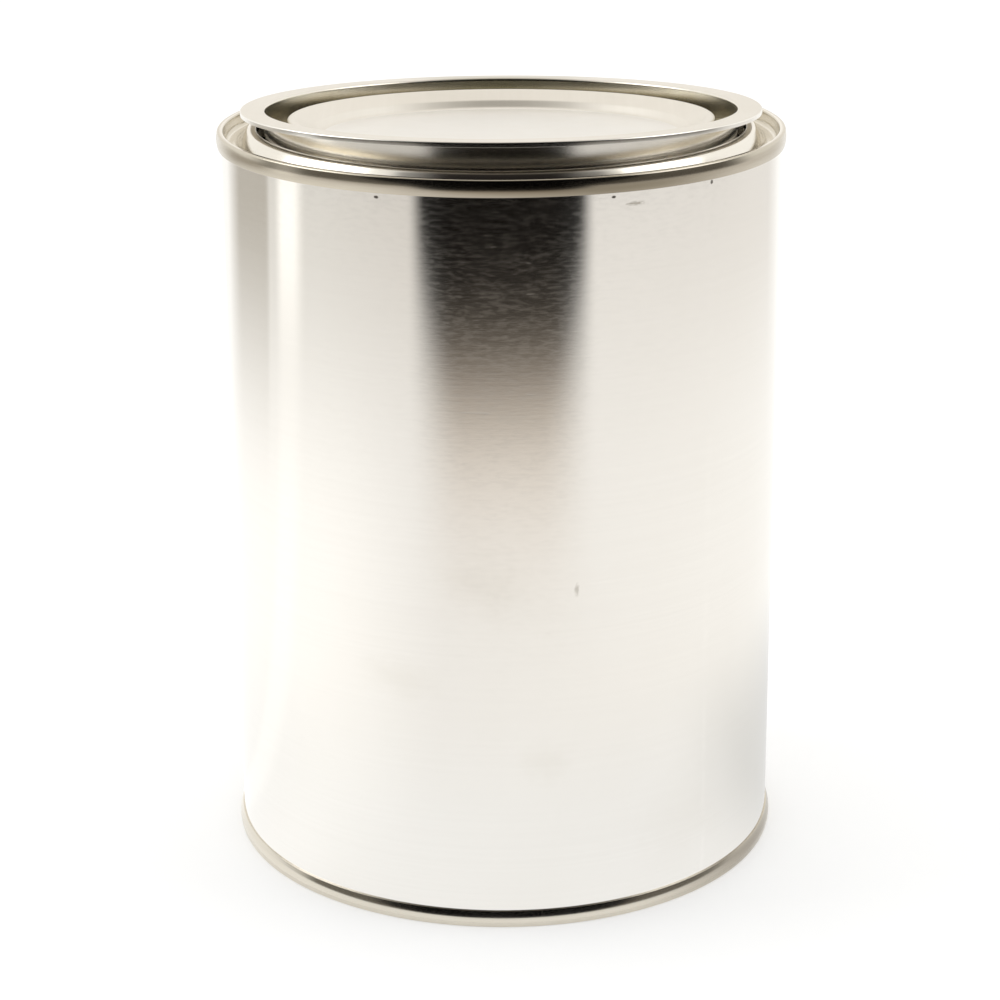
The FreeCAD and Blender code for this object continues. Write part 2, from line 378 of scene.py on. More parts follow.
def rolling_grain():
    """Fine lines left by the rolling mill. Stretch has a large number across the lines."""
    tree, given, out = new_group(
        "Rolling Grain",
        [("Vector", VECTOR, None), ("Stretch", VECTOR, (10, 10, 2000)), ("Broad", FLOAT, 0.35)],
        [("Grain", FLOAT)])
    drawn = vector_maths(tree, "MULTIPLY", given["Vector"], given["Stretch"])
    fine = noise(tree, drawn, 1.0, 3.0, 0.65)
    broad = noise(tree, drawn, 0.16, 2.0, 0.5)
    both = tree.nodes.new("ShaderNodeMix")
    tree.links.new(given["Broad"], both.inputs[0])
    tree.links.new(fine, both.inputs[2])
    tree.links.new(broad, both.inputs[3])
    tree.links.new(both.outputs[0], out["Grain"])
    return tree


def handling():
    """Marks of packing and handling: faint smears, and short fine scratches."""
    tree, given, out = new_group(
        "Handling Marks", [("Vector", VECTOR, None), ("Size", FLOAT, 40.0), ("Cover", FLOAT, 0.5)],
        [("Smears", FLOAT), ("Scratches", FLOAT)])
    sized = vector_maths(tree, "MULTIPLY", given["Vector"], (1.0, 1.0, 0.7))
    scaled = tree.nodes.new("ShaderNodeVectorMath")
    scaled.operation = "SCALE"
    tree.links.new(sized, scaled.inputs[0])
    tree.links.new(given["Size"], scaled.inputs["Scale"])
    cloud = noise(tree, scaled.outputs[0], 1.0, 4.0, 0.55)
    patch = noise(tree, scaled.outputs[0], 0.35, 1.0, 0.5)
    lower = maths(tree, "SUBTRACT", 1.0, given["Cover"])
    mean = maths(tree, "MULTIPLY", maths(tree, "ADD", cloud, patch), 0.5)
    smears = ease(tree, mean, maths(tree, "MULTIPLY", lower, 0.8), maths(tree, "ADD", lower, 0.25))
    tree.links.new(smears, out["Smears"])
    lines = None
    for stretch in ((90.0, 140.0, 1500.0), (320.0, 560.0, 1400.0)):
        drawn = vector_maths(tree, "MULTIPLY", given["Vector"], stretch)
        line = ease(tree, noise(tree, drawn, 1.0, 1.0, 0.4), 0.75, 0.82)
        lines = line if lines is None else maths(tree, "MAXIMUM", lines, line)
    tree.links.new(maths(tree, "MULTIPLY", lines, patch), out["Scratches"])
    return tree


def lone_mark():
    """One mark on the skin: how much of it shows, from its middle and its half sizes in millimetres."""
    tree, given, out = new_group(
        "Lone Mark",
        [("Vector", VECTOR, None), ("Middle", VECTOR, (0, 0, 0)), ("Reach", VECTOR, (1, 1, 1)),
         ("Ragged", FLOAT, 0.4), ("Soft", FLOAT, 0.5)],
        [("Mark", FLOAT)])
    in_mm = vector_maths(tree, "MULTIPLY", given["Vector"], (1000.0, 1000.0, 1000.0))
    shift = vector_maths(tree, "SUBTRACT", in_mm, given["Middle"])
    reach = vector_maths(tree, "DIVIDE", shift, given["Reach"])
    far = vector_maths(tree, "LENGTH", reach, None, "Value")
    uneven = maths(tree, "SUBTRACT", noise(tree, reach, 1.7, 3.0, 0.6), 0.5)
    edge = maths(tree, "MULTIPLY", uneven, given["Ragged"])
    total = maths(tree, "ADD", far, maths(tree, "MULTIPLY", edge, 3.0))
    mark = ease(tree, total, maths(tree, "SUBTRACT", 1.0, given["Soft"]), 1.0, 1.0, 0.0)
    tree.links.new(mark, out["Mark"])
    return tree


def worn_edge():
    """Where rims are rubbed: the sharp outer edges of a piece, broken up a little."""
    tree, given, out = new_group(
        "Worn Edge",
        [("Vector", VECTOR, None), ("Low", FLOAT, 0.53), ("High", FLOAT, 0.60)],
        [("Wear", FLOAT)])
    shape = tree.nodes.new("ShaderNodeNewGeometry")
    edge = ease(tree, shape.outputs["Pointiness"], given["Low"], given["High"])
    broken = ease(tree, noise(tree, given["Vector"], 260.0, 3.0, 0.6), 0.32, 0.62)
    tree.links.new(maths(tree, "MULTIPLY", edge, broken), out["Wear"])
    return tree


def upright_wall():
    """How upright the surface is: upright walls get their own roughness and a brighter colour, which is a
    painted reflection.
    """
    tree, given, out = new_group(
        "Upright Wall",
        [("Steep", FLOAT, 0.35), ("Flat", FLOAT, 0.8)],
        [("Wall", FLOAT)])
    shape = tree.nodes.new("ShaderNodeNewGeometry")
    parts = tree.nodes.new("ShaderNodeSeparateXYZ")
    tree.links.new(shape.outputs["Normal"], parts.inputs[0])
    level = maths(tree, "ABSOLUTE", parts.outputs[2])
    upright = ease(tree, level, given["Steep"], given["Flat"], 1.0, 0.0)
    tree.links.new(upright, out["Wall"])
    return tree


def rolled_seam():
    """The outside of a rolled seam, which gets a darker, browner colour and a little more roughness."""
    tree, given, out = new_group(
        "Rolled Seam",
        [("Vector", VECTOR, None), ("Radius", FLOAT, 0.05), ("Ragged", FLOAT, 0.3)],
        [("Rubbed", FLOAT)])
    flat = vector_maths(tree, "MULTIPLY", given["Vector"], (1.0, 1.0, 0.0))
    away = maths(tree, "SUBTRACT", vector_maths(tree, "LENGTH", flat, None, "Value"), given["Radius"])
    rubbed = ease(tree, away, -0.0002, 0.0004)
    drawn = vector_maths(tree, "MULTIPLY", given["Vector"], (90.0, 90.0, 1500.0))
    uneven = maths(tree, "MULTIPLY", noise(tree, drawn, 1.0, 3.0, 0.6), given["Ragged"])
    tree.links.new(maths(tree, "MULTIPLY", rubbed, maths(tree, "SUBTRACT", 1.0, uneven)), out["Rubbed"])
    return tree


def ring_tone_and_shade():
    """A ring between two radii with a colour of its own: painted shade in a hollow, and a tone of its own
    for the lid's disc.
    """
    tree, given, out = new_group(
        "Ring Tone And Shade",
        [("Vector", VECTOR, None), ("Inner", FLOAT, 0.04), ("Outer", FLOAT, 0.045)],
        [("Tone", FLOAT)])
    flat = vector_maths(tree, "MULTIPLY", given["Vector"], (1.0, 1.0, 0.0))
    away = vector_maths(tree, "LENGTH", flat, None, "Value")
    inside = ease(tree, away, maths(tree, "SUBTRACT", given["Inner"], 0.0004), given["Inner"])
    outside = ease(tree, away, given["Outer"], maths(tree, "ADD", given["Outer"], 0.0002), 1.0, 0.0)
    cloud = noise(tree, given["Vector"], 160.0, 3.0, 0.55)
    uneven = maths(tree, "MULTIPLY_ADD", cloud, 0.5, 0.62, clamp=True)
    within = maths(tree, "MULTIPLY", inside, outside)
    tree.links.new(maths(tree, "MULTIPLY", within, uneven), out["Tone"])
    return tree


GRAIN, HANDLING, MARK, WORN = rolling_grain(), handling(), lone_mark(), worn_edge()
WALL, SEAM, RING_TONE_AND_SHADE = upright_wall(), rolled_seam(), ring_tone_and_shade()

# ---------------------------------------------------------------- finishes

# the brighter colour of upright walls, a painted reflection
WALL_SHEEN_TINT = (0.93, 0.91, 0.865)
RELIEF_DEPTH = 0.000004  # metres
QUARTER_TURN = 0.25


def add_relief(tree, skin, height, strength):
    """Give the surface the fine relief of a height between 0 and 1."""
    bump = tree.nodes.new("ShaderNodeBump")
    bump.inputs["Strength"].default_value = strength
    bump.inputs["Distance"].default_value = RELIEF_DEPTH
    tree.links.new(height, bump.inputs["Height"])
    tree.links.new(bump.outputs[0], skin.inputs["Normal"])


def spread_upright(tree, skin, amount):
    """Spread reflections up and down, across lines that run round the tin."""
    tangent = tree.nodes.new("ShaderNodeTangent")
    tangent.direction_type = "RADIAL"
    tangent.axis = "Z"
    tree.links.new(tangent.outputs[0], skin.inputs["Tangent"])
    skin.inputs["Anisotropic"].default_value = amount
    skin.inputs["Anisotropic Rotation"].default_value = QUARTER_TURN


def tinplate(name, colour, roughness, stretch, grain=0.06, relief=0.5, smears=0.35, size=45.0,
             anisotropy=0.0, marks=(), wall_roughness=None, seam_colour=None, shade_and_tone_rings=(), mottle=None,
             contrast=1.0):
    """Bright tinplate.

    stretch is how fine the rolling lines are along each axis, and grain, relief and contrast are how
    much they change the roughness, the surface and the colour. mottle is the same for the flakes of
    tin, where they show. size and smears are for the handling marks. wall_roughness is for upright
    walls, which also get a brighter colour, a painted reflection. Each mark is (middle, half sizes,
    ragged, soft, colour, strength, roughness); marks are dirt and also painted shade. Each shaded or
    toned ring is (inner, outer, colour): painted shade in a hollow, and a tone of its own for the lid's
    disc.
    """
    mat = bpy.data.materials.new(name)
    mat.use_nodes = True
    tree = mat.node_tree
    skin = tree.nodes["Principled BSDF"]
    skin.inputs["Metallic"].default_value = 1.0
    where = tree.nodes.new("ShaderNodeTexCoord").outputs["Object"]
    lines = place_group(tree, GRAIN, Vector=where, Stretch=stretch)["Grain"]
    handled = place_group(tree, HANDLING, Vector=where, Size=size, Cover=0.5)
    wear = place_group(tree, WORN, Vector=where)["Wear"]

    relief_height = maths(tree, "MULTIPLY_ADD", handled["Scratches"], -1.0, lines)
    if mottle is not None:
        blotches = place_group(tree, GRAIN, Vector=where, Stretch=mottle, Broad=0.0)["Grain"]
        relief_height = maths(tree, "MULTIPLY_ADD", blotches, 1.25, relief_height)
        flakes = ease(tree, blotches, 0.42, 0.66)

    dull = tuple(c * k for c, k in zip(colour, (0.90, 0.89, 0.86)))
    bright = tuple(min(1.0, c * 1.07) for c in colour)
    light = tuple(min(1.0, c * (1 + 0.07 * contrast)) for c in colour)
    deep = tuple(c * (1 - k * contrast) for c, k in zip(colour, (0.07, 0.08, 0.10)))
    shade = blend_colours(tree, lines, deep, light)
    shade = blend_colours(tree, maths(tree, "MULTIPLY", handled["Smears"], smears), shade, dull)
    shade = blend_colours(tree, maths(tree, "MULTIPLY", handled["Scratches"], 0.35), shade, bright)
    shade = blend_colours(tree, maths(tree, "MULTIPLY", wear, 0.5), shade, bright)
    rough = maths(tree, "MULTIPLY_ADD", maths(tree, "SUBTRACT", lines, 0.5), grain, roughness)
    if mottle is not None:
        rough = maths(tree, "MULTIPLY_ADD", flakes, 0.03, rough)
    rough = maths(tree, "MULTIPLY_ADD", handled["Smears"], smears * 0.12, rough)
    rough = maths(tree, "MULTIPLY_ADD", handled["Scratches"], 0.10, rough)
    rough = maths(tree, "MULTIPLY_ADD", wear, 0.08, rough)
    if wall_roughness is not None:
        upright = place_group(tree, WALL)["Wall"]
        rough = maths(tree, "MULTIPLY_ADD", upright, wall_roughness - roughness, rough)
        # painted reflection: upright walls are blended towards a brighter colour
        shade = blend_colours(tree, maths(tree, "MULTIPLY", upright, 0.85), shade, WALL_SHEEN_TINT)
    if seam_colour is not None:
        rubbed = place_group(tree, SEAM, Vector=where, Radius=wall * MM)["Rubbed"]
        shade = blend_colours(tree, rubbed, shade, seam_colour)
        rough = maths(tree, "MULTIPLY_ADD", rubbed, 0.05, rough)
    # painted shade in hollows, and the tone of the lid's disc
    for inner, outer, tint in shade_and_tone_rings:
        tone = place_group(tree, RING_TONE_AND_SHADE, Vector=where, Inner=inner * MM, Outer=outer * MM)["Tone"]
        shade = blend_colours(tree, tone, shade, tint)
    for middle, reach, ragged, soft, tint, strength, extra in marks:
        placed = place_group(tree, MARK, Vector=where, Middle=middle, Reach=reach, Ragged=ragged, Soft=soft)
        mark = placed["Mark"]
        shade = blend_colours(tree, maths(tree, "MULTIPLY", mark, strength), shade, tint)
        rough = maths(tree, "MULTIPLY_ADD", mark, extra, rough)
    tree.links.new(shade, skin.inputs["Base Color"])
    tree.links.new(maths(tree, "MAXIMUM", rough, 0.05), skin.inputs["Roughness"])

    add_relief(tree, skin, relief_height, relief)
    if anisotropy:
        spread_upright(tree, skin, anisotropy)
    return mat


def on_wall(angle, height):
    """The place on the wall at a compass angle from the front, in millimetres."""
    a = math.radians(angle)
    return (wall * math.sin(a), -wall * math.cos(a), height)


TIN, END_TIN = (0.90, 0.88, 0.845), (0.84, 0.805, 0.745)
# the second colour here is painted shade, a dark reflection on the front of the top seam
SEAM_TIN, PAINTED_SEAM_SHADE = (0.54, 0.49, 0.40), (0.24, 0.205, 0.15)
DIRT, OLIVE = (0.10, 0.085, 0.065), (0.52, 0.47, 0.34)


def speck(place, reach, strength=0.9):
    """A small dark speck of dirt."""
    return (place, reach, 0.2, 0.4, DIRT, strength, 0.3)


def stain(place, reach, ragged, strength, roughness):
    """A wide, very faint stain."""
    return (place, reach, ragged, 1.0, OLIVE, strength, roughness)


body_marks = [
    speck(on_wall(-24.0, 137.1), (0.55, 0.55, 0.30)),
    speck(on_wall(21.3, 137.1), (0.45, 0.45, 0.28)),
    speck(on_wall(44.2, 137.3), (0.4, 0.4, 0.45), 0.8),
    # a smudge under the seam, and a scuff halfway up
    (on_wall(25.7, 135.6), (1.9, 1.9, 0.5), 0.8, 0.9, (0.36, 0.32, 0.24), 0.5, 0.10),
    (on_wall(14.3, 65.8), (0.55, 0.55, 1.6), 0.5, 0.8, (0.50, 0.47, 0.41), 0.5, 0.10),
    stain(on_wall(-20.8, 47.9), (12.0, 12.0, 5.5), 0.35, 0.08, 0.02),
    stain(on_wall(8.0, 32.3), (7.0, 7.0, 6.0), 0.35, 0.07, 0.02),
    stain(on_wall(-3.6, 66.5), (11.0, 11.0, 8.0), 0.4, 0.07, 0.02),
    stain(on_wall(38.4, 15.8), (15.0, 15.0, 14.0), 0.3, 0.07, 0.01),
]
ring_specks_and_shade = [
    # painted shade: a broad darkening over the front of the top seam
    (on_wall(20.0, 138.7), (46.0, 34.0, 2.8), 0.1, 1.0, PAINTED_SEAM_SHADE, 0.95, 0.0),
    speck(on_wall(44.2, 138.1), (0.45, 0.45, 0.4), 0.8),
]
# painted shade in the back of the lid's groove
lid_groove_shade = [((0.0, PLUG, CREST - 1.0), (30.0, 6.0, 5.0), 0.1, 1.0, (0.26, 0.26, 0.15), 0.6, 0.0)]
# painted shade on the right of the bottom seam, where the tin's shadow falls
end_seam_shade = [(on_wall(62.0, 1.8), (34.0, 40.0, 3.4), 0.1, 1.0, (0.38, 0.34, 0.28), 0.95, 0.0)]

body_finish = tinplate(
    "body_tinplate", TIN, 0.09, (9.0, 9.0, 2600.0), grain=0.04, relief=0.38, smears=0.2, size=38.0,
    anisotropy=0.75, marks=body_marks, mottle=(520.0, 520.0, 1700.0), contrast=0.35)
ring_finish = tinplate(
    "ring_tinplate", END_TIN, 0.14, (60.0, 60.0, 900.0), grain=0.05, relief=0.3, size=110.0,
    # painted shade on the inside wall of the seam
    seam_colour=SEAM_TIN, marks=ring_specks_and_shade, shade_and_tone_rings=[(CHUCK - 0.35, CHUCK + 0.1, (0.62, 0.57, 0.47))])
lid_finish = tinplate(
    "lid_tinplate", (0.80, 0.77, 0.72), 0.34, (700.0, 14.0, 14.0), grain=0.06, relief=0.1, size=70.0,
    wall_roughness=0.20, marks=lid_groove_shade,
    shade_and_tone_rings=[
        # painted shade and dirt in the groove
        (GROOVE_IN - 0.1, PLUG - 0.35, (0.57, 0.525, 0.41)),
        # the lid's disc: a whiter tone of its own
        (0.0, STEP_OUT - 1.5, (0.87, 0.86, 0.84))])
end_finish = tinplate(
    "end_tinplate", END_TIN, 0.12, (60.0, 60.0, 900.0), grain=0.05, relief=0.3, size=90.0,
    seam_colour=(0.70, 0.65, 0.555), marks=end_seam_shade)


def weld_finish():
    """The welded lap: dull, a little darker, with a fine ripple from the welding wheel."""
    mat = tinplate(
        "weld_band", (0.60, 0.575, 0.53), 0.36, (300.0, 300.0, 900.0), grain=0.2, relief=0.6, smears=0.5)
    tree = mat.node_tree
    where = tree.nodes.new("ShaderNodeTexCoord").outputs["Object"]
    wave = tree.nodes.new("ShaderNodeTexWave")
    wave.bands_direction = "Z"
    wave.inputs["Scale"].default_value = 350.0
    wave.inputs["Distortion"].default_value = 0.6
    tree.links.new(where, wave.inputs["Vector"])
    first = next(node for node in tree.nodes if node.type == "BUMP")
    second = tree.nodes.new("ShaderNodeBump")
    second.inputs["Strength"].default_value = 0.6
    second.inputs["Distance"].default_value = 0.00003
    tree.links.new(wave.outputs["Fac"], second.inputs["Height"])
    tree.links.new(first.outputs[0], second.inputs["Normal"])
    tree.links.new(second.outputs[0], tree.nodes["Principled BSDF"].inputs["Normal"])
    return mat


# ---------------------------------------------------------------- the tin's pieces

turning = turning_tree()


def fit_piece(piece, node):
    """Every piece rides the root; it stands for a node of the frame and has a material slot."""
    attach(piece, "root")
    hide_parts(node)


def end_panel(height, bend):
    """The bottom end's flat and its expansion bead, in section from the middle outwards."""
    return [
        (0, height, 0), (BEAD_IN, height, bend), (BEAD_IN + BEAD_SLOPE, height + BEAD_RISE, bend),
        (BEAD_OUT - BEAD_SLOPE, height + BEAD_RISE, bend), (BEAD_OUT, height, bend)]


def body_wall():
    """The welded cylinder, solid between the bottom end and the mouth, as nothing of the inside shows."""
    corners = end_panel(END_RECESS + PLATE, 0.4)
    corners += [
        (wall - PLATE, END_RECESS + PLATE, 0), (wall - PLATE, 2 * PLATE, 0), (wall, 2 * PLATE, 0),
        (wall, CREST - 2 * PLATE, 0), (wall - PLATE, CREST - 2 * PLATE, 0),
        (wall - PLATE, CHANNEL - PLATE, 0), (THROAT + PLATE, CHANNEL - PLATE, 0),
        (THROAT + PLATE, MOUTH_FLOOR, 0), (0, MOUTH_FLOOR, 0)]
    return turn(turning, "wall", corners, body_finish)


def top_ring():
    """The seam's barrel, its inside wall, the channel, the slope up to the curl, and the neck below it."""
    corners = [
        (wall - PLATE / 2, CREST - 2 * PLATE, 0), (wall, CREST - 2 * PLATE, 0),
        (wall, CREST - SEAM_HEIGHT, 0), (SEAM_EDGE, CREST - SEAM_HEIGHT, 0.12),
        (SEAM_CROWN, CREST - SEAM_HEIGHT / 2, BARREL_ROUND), (SEAM_EDGE, CREST, CREST_ROUND),
        (CHUCK, CREST, CREST_ROUND), (CHUCK, CHANNEL, 1.2),
        (CURL_FOOT, CHANNEL, 1.2), (CURL_OUT, CURL_TOP, CURL_ROUND), (CURL_IN, CURL_TOP, 0.6),
        (CURL_IN, THROAT_TOP, 0.4), (THROAT, CHANNEL, 0.4), (THROAT, NECK_FOOT, 0),
        (THROAT + PLATE, NECK_FOOT, 0), (THROAT + PLATE, CHANNEL - PLATE, 0),
        (wall - PLATE, CHANNEL - PLATE, 0), (wall - PLATE, CREST - 2 * PLATE, 0),
        (wall - PLATE / 2, CREST - 2 * PLATE, 0)]
    return turn(turning, "ring", corners, ring_finish)


def bottom_end(crown=0.42, lean=0.25):
    """The recessed end with its bead, and the seam round it, whose upper half leans in to the wall."""
    corners = end_panel(END_RECESS, 0.6)
    corners += [
        (CHUCK, END_RECESS, 0.9), (CHUCK, 0, CREST_ROUND), (SEAM_EDGE, 0, CREST_ROUND),
        (SEAM_CROWN, SEAM_HEIGHT * crown, 3.2), (wall + lean, SEAM_HEIGHT, 0.1), (wall, SEAM_HEIGHT, 0),
        (wall, 2 * PLATE, 0), (wall - PLATE, 2 * PLATE, 0), (wall - PLATE, END_RECESS + PLATE, 0),
        *reversed(end_panel(END_RECESS + PLATE, 0.4))]
    return turn(turning, "bottom", corners, end_finish)


def lever_lid():
    """The pressed lid: a stepped disc, a land, the groove, the plug and the flange that a lever lifts."""
    corners = [
        (0, DISC, 0), (STEP_OUT - STEP_EASE, DISC, 1.6), (STEP_OUT + 0.5, STEP_TOP + 0.1, 1.4),
        (LAND_OUT, PANEL, 1.6), (GROOVE_IN, PANEL, 0.9), (GROOVE_IN, PLATE - PLUG_DEPTH, 1.2),
        (PLUG_FOOT - PLATE, PLATE - PLUG_DEPTH, 1.2), (PLUG - PLATE, FLANGE_THICK, 0.6),
        (FLANGE, FLANGE_THICK, 0.35), (FLANGE, 0, 0.05), (PLUG, 0, 0.15), (PLUG_FOOT, -PLUG_DEPTH, 0.6),
        (0, -PLUG_DEPTH, 0)]
    return turn(turning, "lid_top", corners, lid_finish, tilt=LID_TILT, lift=LID_SEAT, inside_out=True)


def side_weld(half=0.6, crown=0.2, proud=0.12, sunk=0.15, ease_off=0.14, taper=0.3):
    """The lapped weld up the back of the wall, from seam to seam: a low strip with eased edges."""
    profile = [
        (-half, -sunk), (-half, proud - ease_off / 2), (-half + ease_off, proud), (-crown, proud),
        (crown, proud), (half - ease_off, proud), (half, proud - ease_off / 2), (half, -sunk)]
    low, high = SEAM_HEIGHT, CREST - SEAM_HEIGHT
    levels = [low, low + taper, high - taper, high]
    points, faces = [], []
    for z in levels:
        points += [(x * MM, (math.sqrt(wall**2 - x**2) + out) * MM, z * MM) for x, out in profile]
    n = len(profile)
    for k in range(len(levels) - 1):
        for j in range(n):
            a, b = k * n + j, k * n + (j + 1) % n
            faces.append((a, a + n, b + n, b))
    faces.append(tuple(range(n)))
    faces.append(tuple(reversed(range((len(levels) - 1) * n, len(levels) * n))))
    mesh = bpy.data.meshes.new("weld_strip")
    mesh.from_pydata(points, [], faces)
    mesh.materials.append(weld_finish())
    return add_object("weld_strip", mesh)


fit_piece(body_wall(), "body")
fit_piece(top_ring(), "top_ring")
fit_piece(bottom_end(), "bottom_end")
fit_piece(lever_lid(), "lid")
fit_piece(side_weld(), "body")

# ---------------------------------------------------------------- studio, in metres

CARD_HEIGHT = 0.002
DOME_RADIUS = 1.6


def lay_floor(reach=6.0):
    """A plain white floor that keeps the tin's shadow."""
    mat = bpy.data.materials.new("floor_white")
    mat.use_nodes = True
    tree = mat.node_tree
    skin = tree.nodes["Principled BSDF"]
    skin.inputs["Base Color"].default_value = (0.82, 0.82, 0.815, 1)
    skin.inputs["Roughness"].default_value = 0.8
    skin.inputs["Specular IOR Level"].default_value = 0.0
    skin.inputs["Emission Color"].default_value = (1, 1, 1, 1)
    path = tree.nodes.new("ShaderNodeLightPath")
    seen = maths(tree, "MAXIMUM", path.outputs["Is Camera Ray"], path.outputs["Is Glossy Ray"])
    seen = maths(tree, "MAXIMUM", seen, path.outputs["Is Transmission Ray"])
    tree.links.new(maths(tree, "MULTIPLY", seen, 0.23), skin.inputs["Emission Strength"])
    corners = [(-reach, -reach, 0), (reach, -reach, 0), (reach, reach, 0), (-reach, reach, 0)]
    mesh = bpy.data.meshes.new("floor")
    mesh.from_pydata(corners, [], [(0, 1, 2, 3)])
    mesh.materials.append(mat)
    add_object("floor", mesh)


def card_and_dome(turns=64, dome_step=6):
    """A card on the floor that starts at the tin's foot, and a dome over it."""
    rings = [(0.0546, 0.0006), (0.07, 0.0012)]
    rings += [(d, CARD_HEIGHT) for d in (0.1, 0.15, 0.25, 0.4, 0.7, 1.0, 1.3)]
    for degrees in range(0, 90, dome_step):
        a = math.radians(degrees)
        rings.append((DOME_RADIUS * math.cos(a), max(CARD_HEIGHT, DOME_RADIUS * math.sin(a))))
    n, points, faces = len(rings), [], []
    for k in range(turns):
        a = 2 * math.pi * k / turns
        points += [(d * math.sin(a), -d * math.cos(a), h) for d, h in rings]
        here, there = k * n, (k + 1) % turns * n
        faces += [(here + j, here + j + 1, there + j + 1, there + j) for j in range(n - 1)]
        faces.append((here + n - 1, n * turns, there + n - 1))
    points.append((0, 0, DOME_RADIUS))
    mesh = bpy.data.meshes.new("surroundings")
    mesh.from_pydata(points, [], faces)
    return mesh


def at(degrees):
    """A compass angle, from -180 to 180 with 0 at the front, as a place on a ramp."""
    return degrees / 360 + 0.5


def product(tree, *factors):
    """All the factors multiplied together."""
    total = factors[0]
    for factor in factors[1:]:
        total = maths(tree, "MULTIPLY", total, factor)
    return total


def table_tones(tree, compass, away):
    """The white table by compass angle, in three zones: far out, close to the tin, and at its foot, where
    the tin's shadow is painted.
    """
    turned = maths(tree, "MULTIPLY_ADD", compass, 1 / 360, 0.5)
    white, right, left = (1.0, 0.99, 0.965), (0.80, 0.775, 0.74), (0.70, 0.67, 0.63)
    grey, further, bare = (0.50, 0.47, 0.42), (0.75, 0.73, 0.69), (0.95, 0.95, 0.94)
    far_out = ramp(tree, turned, [
        (0.0, white), (at(-146), white), (at(-130), grey), (at(-106), grey), (at(-104), further),
        (at(-76), further), (at(-36), left), (at(36), right), (at(135), right), (at(152), white),
        (1.0, white)])
    close = ramp(tree, turned, [
        (0.0, white), (at(-140), (0.97, 0.96, 0.94)), (at(-76), (0.965, 0.955, 0.93)),
        (at(-20), (0.88, 0.865, 0.84)), (at(60), (0.925, 0.91, 0.88)), (at(150), white), (1.0, white)])
    # painted shadow: the tin's shadow on the table at its foot, darkest to the right
    foot = ramp(tree, turned, [
        (0.0, bare), (at(-80), (0.88, 0.88, 0.87)), (at(-50), (0.91, 0.91, 0.90)),
        (at(0), (0.895, 0.895, 0.885)), (at(52), (0.89, 0.89, 0.885)), (at(95), (0.73, 0.73, 0.72)),
        (at(125), (0.735, 0.735, 0.73)), (at(155), (0.85, 0.85, 0.85)), (1.0, bare)], "EASE")
    table = blend_colours(tree, ease(tree, away, 0.66, 0.20), far_out, close)
    return blend_colours(tree, ease(tree, away, 0.165, 0.075), table, foot)


def overhead_tones(tree, x, y, z):
    """What is above the table: bright behind and at the sides, darker overhead towards the front."""
    beige = (0.97, 0.94, 0.885)
    over = maths(tree, "MULTIPLY", maths(tree, "ARCTAN2", z, y), 180 / math.pi)
    behind = ramp(tree, maths(tree, "DIVIDE", over, 180.0), [
        (0.0, beige), (0.40, beige), (0.49, (0.50, 0.48, 0.44)), (0.53, (0.40, 0.38, 0.34)),
        (0.60, (0.10, 0.09, 0.075)), (0.68, (0.025, 0.022, 0.02)), (1.0, (0.02, 0.02, 0.018))])
    side = maths(tree, "ABSOLUTE", maths(tree, "DIVIDE", x, DOME_RADIUS))
    return blend_colours(tree, ease(tree, side, 0.30, 0.64), behind, (0.98, 0.97, 0.93))


def darken_room(tree, shade, aside, away, lift):
    """The dark room beyond the table's edge."""
    room = product(
        tree, ease(tree, lift, 18.0, 30.0, 1.0, 0.0), ease(tree, away, 0.80, 1.0),
        ease(tree, aside, 96.0, 118.0, 1.0, 0.0), 0.94)
    return blend_colours(tree, room, shade, (0.075, 0.065, 0.05))


def darken_front(tree, shade, aside, away, lift):
    """The dark space in front, which fades out over the table."""
    kept = ramp(tree, away, [
        (0.19, (1.0, 1.0, 1.0)), (0.235, (0.97, 0.955, 0.94)), (0.28, (0.93, 0.90, 0.87)),
        (0.33, (0.83, 0.78, 0.73)), (0.385, (0.53, 0.475, 0.42)), (0.44, (0.16, 0.137, 0.113)),
        (0.50, (0.006, 0.005, 0.004)), (0.6, (0.002, 0.002, 0.0015))])
    kept = blend_colours(tree, ease(tree, lift, 1.0, 4.0), kept, (0.003, 0.0025, 0.002))
    width = ease(tree, lift, 0.0, 14.0, 36.5, 60.0)
    soft = ease(tree, away, 0.30, 0.66, 25.0, 7.0)
    front = ease(tree, aside, maths(tree, "SUBTRACT", width, soft), width, 1.0, 0.0)
    front = product(tree, front, ease(tree, lift, 40.0, 62.0, 1.0, 0.0))
    return blend_colours(tree, front, shade, kept, "MULTIPLY")


def light_left(tree, shade, compass, away, lift, z):
    """The lit panel on the left: a bright strip of it far out, and its glow on the table close by."""
    glow = product(
        tree, ease(tree, compass, -20.0, -70.0), ease(tree, compass, -178.0, -150.0),
        ease(tree, away, 0.50, 0.20), ease(tree, z, 0.084, 0.014))
    strip = product(
        tree, ease(tree, compass, -101.0, -95.0), ease(tree, compass, -90.0, -82.0, 1.0, 0.0),
        ease(tree, away, 0.36, 0.64, 0.12, 1.0), ease(tree, lift, 30.0, 60.0, 1.0, 0.0))
    extra = maths(tree, "MULTIPLY_ADD", glow, 0.105, maths(tree, "MULTIPLY", strip, 0.42))
    lit = blend_colours(tree, extra, (0.0, 0.0, 0.0), (1.0, 1.0, 0.98))
    return blend_colours(tree, 1.0, shade, lit, "ADD")


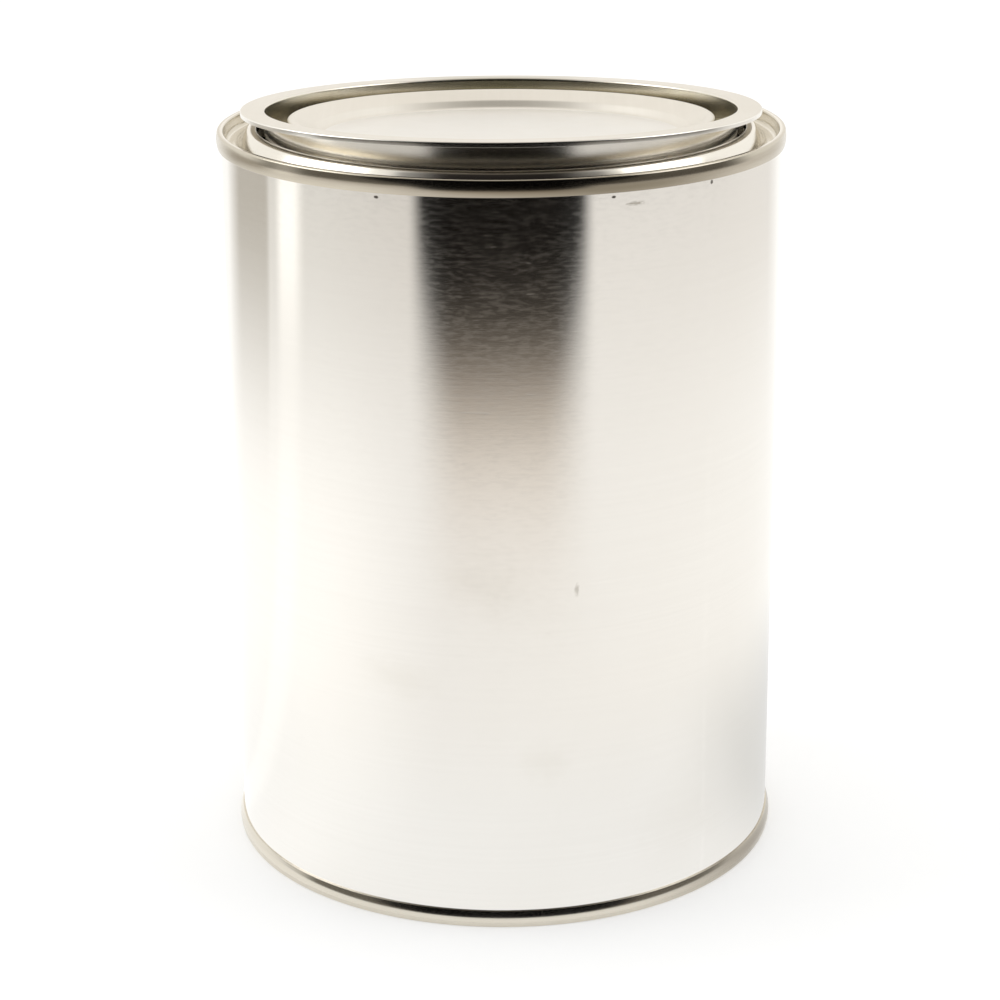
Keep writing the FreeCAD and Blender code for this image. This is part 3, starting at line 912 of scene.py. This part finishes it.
def surroundings(strength=1.08):
    """What the bright metal mirrors: the white table, the dark room in front, panels at the sides.

    Only reflections see it, so it neither lights the floor nor hides anything.
    """
    mat = bpy.data.materials.new("surroundings")
    mat.use_nodes = True
    tree = mat.node_tree
    tree.nodes.remove(tree.nodes["Principled BSDF"])
    parts = tree.nodes.new("ShaderNodeSeparateXYZ")
    tree.links.new(tree.nodes.new("ShaderNodeTexCoord").outputs["Object"], parts.inputs[0])
    x, y, z = parts.outputs
    turned = maths(tree, "ARCTAN2", x, maths(tree, "MULTIPLY", y, -1.0))
    compass = maths(tree, "MULTIPLY", turned, 180 / math.pi)
    aside = maths(tree, "ABSOLUTE", compass)
    squares = maths(tree, "ADD", maths(tree, "MULTIPLY", x, x), maths(tree, "MULTIPLY", y, y))
    away = maths(tree, "SQRT", squares)
    lift = maths(tree, "MULTIPLY", maths(tree, "ARCTAN2", z, away), 180 / math.pi)

    shade = blend_colours(
        tree, ease(tree, z, 0.014, 0.084), table_tones(tree, compass, away), overhead_tones(tree, x, y, z))
    shade = darken_room(tree, shade, aside, away, lift)
    shade = darken_front(tree, shade, aside, away, lift)
    shade = light_left(tree, shade, compass, away, lift, z)
    emission = tree.nodes.new("ShaderNodeEmission")
    tree.links.new(shade, emission.inputs["Color"])
    emission.inputs["Strength"].default_value = strength
    tree.links.new(emission.outputs[0], tree.nodes["Material Output"].inputs["Surface"])

    mesh = card_and_dome()
    mesh.materials.append(mat)
    dome = add_object("surroundings", mesh)
    dome.visible_camera = False
    dome.visible_diffuse = False
    dome.visible_shadow = False
    dome.visible_volume_scatter = False


def area_light(name, place, power, aim=(0, 0, 0.07), size=0.9):
    """A square soft box that faces the tin."""
    data = bpy.data.lights.new(name, "AREA")
    data.shape = "RECTANGLE"
    data.size, data.size_y = size, size
    data.energy = power
    lamp = add_object(name, data)
    way = Vector(aim) - Vector(place)
    lamp.matrix_world = Matrix.Translation(place) @ way.to_track_quat("-Z", "Y").to_matrix().to_4x4()


def white_world():
    """An even white sky, a little brighter where the camera or a reflection sees it."""
    world = bpy.data.worlds.new("studio")
    bpy.context.scene.world = world
    world.use_nodes = True
    tree = world.node_tree
    path = tree.nodes.new("ShaderNodeLightPath")
    seen = maths(tree, "MAXIMUM", path.outputs["Is Camera Ray"], path.outputs["Is Glossy Ray"])
    background = tree.nodes["Background"]
    background.inputs["Color"].default_value = (1, 1, 1, 1)
    tree.links.new(maths(tree, "MULTIPLY_ADD", seen, 0.05, 0.95), background.inputs["Strength"])


def set_camera(distance=0.4802, rise=0.08714, down=16.47, roll=-0.30, sensor=36.0, focal=2.552):
    """The camera in front of the tin, above its crest; focal is in sensor widths."""
    data = bpy.data.cameras.new("camera")
    data.sensor_width = sensor
    data.lens = focal * sensor
    data.shift_x = -0.0026
    data.shift_y = -0.1
    camera = add_object("camera", data)
    camera.matrix_world = (
        Matrix.Translation((0, -distance, CREST * MM + rise))
        @ Matrix.Rotation(math.radians(90 - down), 4, "X")
        @ Matrix.Rotation(math.radians(roll), 4, "Z")
    )
    bpy.context.scene.camera = camera


lay_floor()
surroundings()
area_light("left_box", (-1.2, 0.1, 0.9), 4)
area_light("right_box", (1.2, -0.1, 0.9), 3)
white_world()
set_camera()
bpy.context.scene.view_settings.view_transform = "Standard"
